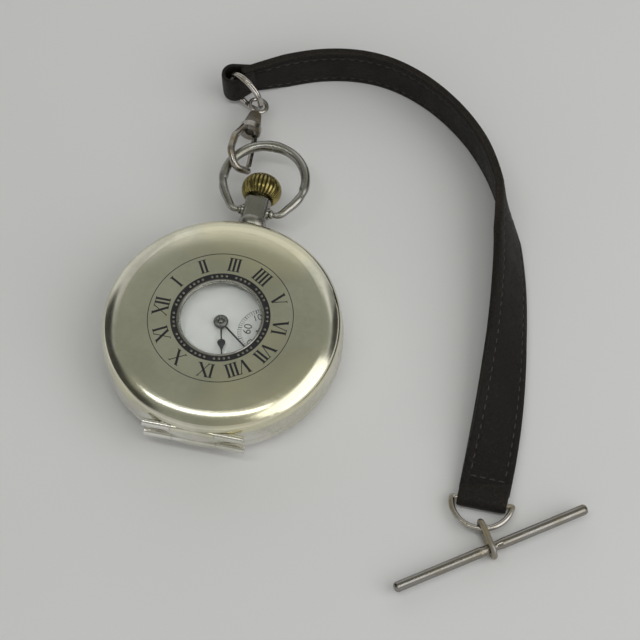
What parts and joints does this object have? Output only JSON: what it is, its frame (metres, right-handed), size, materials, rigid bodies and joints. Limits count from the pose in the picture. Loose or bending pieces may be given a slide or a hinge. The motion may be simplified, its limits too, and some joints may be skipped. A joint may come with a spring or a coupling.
{
  "type": "half hunter pocket watch",
  "caption": "Half hunter pocket watch: hinged silver case with a windowed lid, lever movement, bow and crown, on a leather fob strap with swivel clip, rings and T-bar.",
  "frame": {"origin": "centre of the back cover's flat, where the watch rests on a table", "axes": "+Z out of the dial, +Y through the pendant and crown (three o'clock of the dial), +X to six o'clock, case hinges at -Y"},
  "size_m": [0.1051, 0.1201, 0.0133],
  "materials": {
    "silver": "polished silver",
    "gilt": "worn gilt",
    "steel": "polished steel",
    "blued_steel": "blued",
    "gilt_brass": "frosted gilding",
    "enamel": "fired enamel",
    "crystal": "clear",
    "jewel": "ruby",
    "nickel": "worn nickel plate",
    "worn_brass": "worn plating",
    "leather": "waxed"
  },
  "bodies": {
    "case": {"case_band": "silver", "lid_hinge_pin": "silver", "back_hinge_pin": "silver", "cuvette_hinge_pin": "silver", "glass_bezel": "silver", "dial_glass": "crystal", "pendant": "silver", "pendant_sleeve": "steel", "lift_spring": "steel", "lock_spring": "steel", "dial": "enamel", "main_plate": "gilt_brass", "barrel_bridge": "gilt_brass", "train_bridge": "gilt_brass", "pallet_cock": "gilt_brass", "balance_cock": "gilt_brass", "hairspring": "steel", "mainspring": "steel", "click_spring": "steel", "yoke": "steel", "jewels": "jewel", "movement_screws": "blued_steel"},
    "lid": {"lid_shell": "silver", "lid_glass": "crystal"},
    "back": {"back_cover": "silver"},
    "cuvette": {"cuvette": "silver"},
    "bow": {"bow": "silver"},
    "winding": {"winding_pinion": "steel", "clutch": "steel"},
    "crown": {"crown": "gilt", "stem": "steel"},
    "setting_lever": {"setting_lever": "steel"},
    "crown_wheel": {"crown_wheel": "steel"},
    "ratchet": {"ratchet_wheel": "steel", "barrel_arbor": "steel"},
    "click": {"click": "steel"},
    "seconds": {"fourth_wheel": "gilt_brass", "seconds_hand": "blued_steel"},
    "centre": {"centre_wheel": "gilt_brass", "cannon_pinion": "gilt_brass", "minute_hand": "blued_steel"},
    "third": {"third_wheel": "gilt_brass"},
    "escape": {"escape_wheel": "steel"},
    "barrel": {"mainspring_barrel": "gilt_brass", "barrel_cover": "gilt_brass"},
    "minute_work": {"minute_wheel": "gilt_brass"},
    "setting_work": {"setting_wheel": "gilt_brass"},
    "hour": {"hour_wheel": "gilt_brass", "hour_hand": "blued_steel"},
    "pallets": {"pallet_lever": "steel"},
    "balance": {"balance": "gilt_brass"},
    "regulator": {"regulator": "steel"},
    "clip": {"clip_body": "nickel"},
    "gate": {"clip_gate": "nickel"},
    "eye": {"clip_eye": "nickel"},
    "split_ring": {"split_ring": "nickel"},
    "strap": {"strap": "leather"},
    "d_ring": {"d_ring": "nickel"},
    "link": {"link": "worn_brass"},
    "t_bar": {"t_bar": "nickel"}
  },
  "joints": [
    {"name": "lid_hinge", "type": "hinge", "parent": "case", "child": "lid", "pos_m": [0, -0.0243, 0.0088], "axis": [1, 0, 0], "range_deg": [0, 100]},
    {"name": "back_hinge", "type": "hinge", "parent": "case", "child": "back", "pos_m": [0, -0.0243, 0.0046], "axis": [-1, 0, 0], "range_deg": [0, 100]},
    {"name": "cuvette_hinge", "type": "hinge", "parent": "case", "child": "cuvette", "pos_m": [0, -0.0223, 0.00335], "axis": [-1, 0, 0], "range_deg": [0, 85]},
    {"name": "bow_swing", "type": "hinge", "parent": "case", "child": "bow", "pos_m": [0, 0.0295, 0.0067], "axis": [1, 0, 0], "range_deg": [-80, 80]},
    {"name": "winding_turn", "type": "hinge", "parent": "case", "child": "winding", "pos_m": [0, 0.0165, 0.0067], "axis": [0, 1, 0], "continuous": true},
    {"name": "crown_slide", "type": "slide", "parent": "winding", "child": "crown", "axis": [0, 1, 0], "range_m": [0, 0.0008]},
    {"name": "setting_lever_turn", "type": "hinge", "parent": "case", "child": "setting_lever", "pos_m": [0.0033, 0.0189, 0.0081], "axis": [0, 0, 1], "range_deg": [-14, 0]},
    {"name": "crown_wheel_turn", "type": "hinge", "parent": "case", "child": "crown_wheel", "pos_m": [0, 0.01559, 0.0033], "axis": [0, 0, 1], "continuous": true},
    {"name": "ratchet_turn", "type": "hinge", "parent": "case", "child": "ratchet", "pos_m": [-0.00577, 0.00664, 0.0033], "axis": [0, 0, 1], "continuous": true},
    {"name": "click_turn", "type": "hinge", "parent": "case", "child": "click", "pos_m": [-0.01263, 0.00128, 0.0033], "axis": [0, 0, 1], "range_deg": [0, 8]},
    {"name": "seconds_turn", "type": "hinge", "parent": "case", "child": "seconds", "pos_m": [0.0088, 0, 0.005], "axis": [0, 0, 1], "continuous": true},
    {"name": "centre_turn", "type": "hinge", "parent": "case", "child": "centre", "pos_m": [0, 0, 0.005], "axis": [0, 0, 1], "continuous": true},
    {"name": "third_turn", "type": "hinge", "parent": "case", "child": "third", "pos_m": [0.00498, -0.00456, 0.005], "axis": [0, 0, 1], "continuous": true},
    {"name": "escape_turn", "type": "hinge", "parent": "case", "child": "escape", "pos_m": [0.01258, -0.00265, 0.005], "axis": [0, 0, 1], "continuous": true},
    {"name": "barrel_turn", "type": "hinge", "parent": "case", "child": "barrel", "pos_m": [-0.00577, 0.00664, 0.005], "axis": [0, 0, 1], "continuous": true},
    {"name": "minute_wheel_turn", "type": "hinge", "parent": "case", "child": "minute_work", "pos_m": [0, 0.00384, 0.0082], "axis": [0, 0, 1], "continuous": true},
    {"name": "setting_wheel_turn", "type": "hinge", "parent": "case", "child": "setting_work", "pos_m": [0, 0.00992, 0.0082], "axis": [0, 0, 1], "continuous": true},
    {"name": "hour_turn", "type": "hinge", "parent": "case", "child": "hour", "pos_m": [0, 0, 0.009], "axis": [0, 0, 1], "continuous": true},
    {"name": "pallet_turn", "type": "hinge", "parent": "case", "child": "pallets", "pos_m": [0.01061, -0.00636, 0.0058], "axis": [0, 0, 1], "range_deg": [-5, 5]},
    {"name": "balance_turn", "type": "hinge", "parent": "case", "child": "balance", "pos_m": [0.0082, -0.0109, 0.0042], "axis": [0, 0, 1], "range_deg": [-220, 220]},
    {"name": "regulator_turn", "type": "hinge", "parent": "case", "child": "regulator", "pos_m": [0.0082, -0.0109, 0.0018], "axis": [0, 0, 1], "range_deg": [-30, 30]},
    {"name": "clip_swing", "type": "hinge", "parent": "bow", "child": "clip", "pos_m": [-0.00639, 0.04372, 0.0067], "axis": [-0.692, -0.7219, 0], "range_deg": [-20, 60]},
    {"name": "gate_turn", "type": "hinge", "parent": "clip", "child": "gate", "pos_m": [-0.00511, 0.05026, 0.0041], "axis": [-0.7429, -0.1231, -0.658], "range_deg": [0, 1.5]},
    {"name": "eye_swivel", "type": "hinge", "parent": "clip", "child": "eye", "pos_m": [-0.00627, 0.04361, 0.00665], "axis": [-0.0021, 0.9833, -0.1817], "continuous": true},
    {"name": "split_ring_swing", "type": "hinge", "parent": "eye", "child": "split_ring", "pos_m": [-0.00574, 0.05763, 0.00413], "axis": [0.2171, -0.141, 0.9659], "range_deg": [-25, 25]},
    {"name": "strap_swing", "type": "hinge", "parent": "split_ring", "child": "strap", "pos_m": [-0.01274, 0.06205, 0.00535], "axis": [0, 0, -1], "range_deg": [-60, 12]},
    {"name": "d_ring_swing", "type": "hinge", "parent": "strap", "child": "d_ring", "pos_m": [0.0591, -0.0244, 0.0017], "axis": [1, 0, 0], "range_deg": [-85, 85]},
    {"name": "link_swing", "type": "hinge", "parent": "d_ring", "child": "link", "pos_m": [0.0603, -0.03038, 0.00228], "axis": [0.9803, 0.1973, 0], "range_deg": [-40, 40]},
    {"name": "t_bar_turn", "type": "hinge", "parent": "link", "child": "t_bar", "pos_m": [0.0627, -0.0341, 0.00235], "axis": [0.8111, 0.585, 0], "continuous": true}
  ],
  "couplings": [
    {"joint": "cuvette_hinge", "follows": "back_hinge", "ratio": 0.85},
    {"joint": "setting_lever_turn", "follows": "crown_slide", "rad_per_m": -303.03},
    {"joint": "crown_wheel_turn", "follows": "winding_turn", "ratio": 1},
    {"joint": "ratchet_turn", "follows": "winding_turn", "ratio": -0.51064},
    {"joint": "centre_turn", "follows": "seconds_turn", "ratio": 0.016667},
    {"joint": "third_turn", "follows": "seconds_turn", "ratio": -0.13333},
    {"joint": "escape_turn", "follows": "seconds_turn", "ratio": -10},
    {"joint": "barrel_turn", "follows": "seconds_turn", "ratio": -0.0026316},
    {"joint": "minute_wheel_turn", "follows": "seconds_turn", "ratio": -0.0055556},
    {"joint": "setting_wheel_turn", "follows": "seconds_turn", "ratio": 0.005},
    {"joint": "hour_turn", "follows": "seconds_turn", "ratio": 0.0013889}
  ]
}
